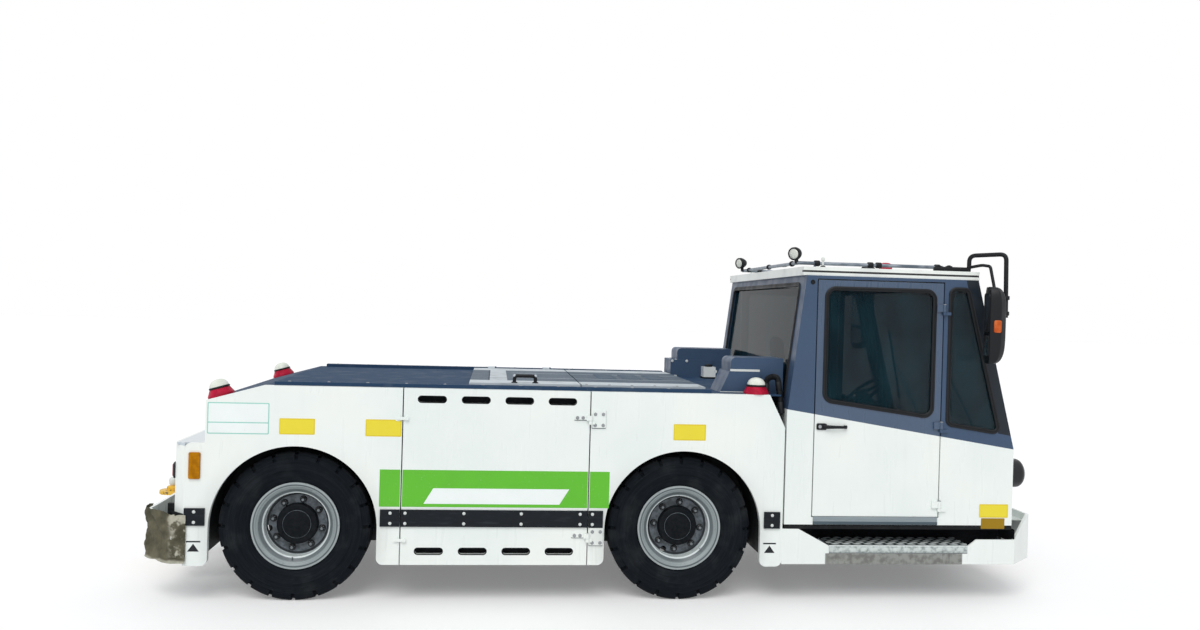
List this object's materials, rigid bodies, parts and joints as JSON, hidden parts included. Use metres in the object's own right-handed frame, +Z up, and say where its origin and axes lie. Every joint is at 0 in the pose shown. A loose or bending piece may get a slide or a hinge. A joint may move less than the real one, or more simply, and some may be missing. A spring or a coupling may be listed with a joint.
{
  "type": "airport towing tractor",
  "caption": "Electric airport towing tractor with a front cab, battery doors, a low flat deck and push bumpers with tow couplings at both ends.",
  "frame": {"origin": "centre of the bounding box at floor level", "axes": "+X forward, +Y to the vehicle's left, +Z up"},
  "size_m": [6.73, 2.78, 2.527],
  "materials": {
    "white_paint": "gloss",
    "slate_paint": "semi-gloss",
    "door_paint": "semi-gloss",
    "hatch_paint": "satin",
    "frame_black": "satin",
    "axle_black": "satin",
    "battery_grey": "satin",
    "rim_grey": "satin",
    "tyre": "matte",
    "rub_black": "matte",
    "floor_rubber": "matte",
    "window_glass": "clear",
    "checker_plate": "satin",
    "seat_fabric": "woven",
    "dash_plastic": "matte",
    "mirror_black": "satin",
    "lamp_black": "gloss",
    "rail_steel": "satin",
    "lamp_white": "gloss",
    "lamp_lens": "gloss",
    "coupling_paint": "satin",
    "wrap_paper": "crumpled"
  },
  "bodies": {
    "chassis": {"side_members": "frame_black", "cross_members": "frame_black", "battery_tray": "frame_black", "battery_pack": "battery_grey", "rear_axle": "axle_black", "front_axle": "axle_black", "rear_body": "white_paint", "rear_fenders": "white_paint", "front_fenders": "white_paint", "wheel_housings": "frame_black", "deck": "slate_paint", "cowls": "slate_paint", "filler_box": "lamp_white", "rub_strips": "rub_black", "cab_floor": "floor_rubber", "cab_lower": "white_paint", "cab_upper": "slate_paint", "cab_roof": "white_paint", "cab_glass": "window_glass", "cab_sills": "white_paint", "cab_steps": "checker_plate", "seats": "seat_fabric", "dashboard": "dash_plastic", "mirrors": "mirror_black", "headlamps": "lamp_black", "roof_rails": "rail_steel", "work_lamps": "lamp_white", "marker_lamps": "lamp_lens", "bumpers": "white_paint", "tow_couplings": "coupling_paint", "bumper_wraps": "wrap_paper"},
    "knuckle_right": {"knuckle_right": "axle_black"},
    "knuckle_left": {"knuckle_left": "axle_black"},
    "tie_rod": {"tie_rod": "axle_black"},
    "wheel_rear_right": {"rim_rear_right": "rim_grey", "tyre_rear_right": "tyre"},
    "wheel_rear_left": {"rim_rear_left": "rim_grey", "tyre_rear_left": "tyre"},
    "wheel_front_right": {"rim_front_right": "rim_grey", "tyre_front_right": "tyre"},
    "wheel_front_left": {"rim_front_left": "rim_grey", "tyre_front_left": "tyre"},
    "side_door_right": {"side_door_right": "white_paint", "door_strip_right": "rub_black"},
    "side_door_left": {"side_door_left": "white_paint", "door_strip_left": "rub_black"},
    "cab_door_right": {"cab_door_right": "door_paint", "door_glass_right": "window_glass"},
    "cab_door_left": {"cab_door_left": "door_paint", "door_glass_left": "window_glass"},
    "deck_hatch": {"deck_hatch": "hatch_paint"},
    "steering_wheel": {"steering_wheel": "dash_plastic"}
  },
  "joints": [
    {"name": "roll_rear_right", "type": "hinge", "parent": "chassis", "child": "wheel_rear_right", "pos_m": [-2.15, -0.9375, 0.505], "axis": [0, 1, 0], "continuous": true},
    {"name": "roll_rear_left", "type": "hinge", "parent": "chassis", "child": "wheel_rear_left", "pos_m": [-2.15, 0.9375, 0.505], "axis": [0, 1, 0], "continuous": true},
    {"name": "steer_right", "type": "hinge", "parent": "chassis", "child": "knuckle_right", "pos_m": [0.49, -0.79, 0.505], "axis": [0, 0, 1], "range_deg": [-25, 25]},
    {"name": "steer_left", "type": "hinge", "parent": "chassis", "child": "knuckle_left", "pos_m": [0.49, 0.79, 0.505], "axis": [0, 0, 1], "range_deg": [-25, 25]},
    {"name": "tie_rod_pivot", "type": "hinge", "parent": "knuckle_right", "child": "tie_rod", "pos_m": [0.27, -0.79, 0.382], "axis": [0, 0, 1], "range_deg": [-25, 25]},
    {"name": "roll_front_right", "type": "hinge", "parent": "knuckle_right", "child": "wheel_front_right", "pos_m": [0.49, -0.9375, 0.505], "axis": [0, 1, 0], "continuous": true},
    {"name": "roll_front_left", "type": "hinge", "parent": "knuckle_left", "child": "wheel_front_left", "pos_m": [0.49, 0.9375, 0.505], "axis": [0, 1, 0], "continuous": true},
    {"name": "side_door_right_hinge", "type": "hinge", "parent": "chassis", "child": "side_door_right", "pos_m": [-0.166, -1.145, 0.86], "axis": [0, 0, 1], "range_deg": [0, 100]},
    {"name": "side_door_left_hinge", "type": "hinge", "parent": "chassis", "child": "side_door_left", "pos_m": [-0.166, 1.145, 0.86], "axis": [0, 0, -1], "range_deg": [0, 100]},
    {"name": "cab_door_right_hinge", "type": "hinge", "parent": "chassis", "child": "cab_door_right", "pos_m": [2.354, -1.139, 1.4], "axis": [0, 0, 1], "range_deg": [0, 80]},
    {"name": "cab_door_left_hinge", "type": "hinge", "parent": "chassis", "child": "cab_door_left", "pos_m": [2.354, 1.139, 1.4], "axis": [0, 0, -1], "range_deg": [0, 80]},
    {"name": "hatch_hinge", "type": "hinge", "parent": "chassis", "child": "deck_hatch", "pos_m": [-0.615, 0.88, 1.496], "axis": [-1, 0, 0], "range_deg": [0, 75]},
    {"name": "steering_wheel_turn", "type": "hinge", "parent": "chassis", "child": "steering_wheel", "pos_m": [2.39, 0.48, 1.33], "axis": [-0.6428, 0, 0.766], "range_deg": [-460, 460]}
  ],
  "couplings": [
    {"joint": "steer_left", "follows": "steer_right", "ratio": 1},
    {"joint": "tie_rod_pivot", "follows": "steer_right", "ratio": -1},
    {"joint": "steering_wheel_turn", "follows": "steer_right", "ratio": 18}
  ]
}
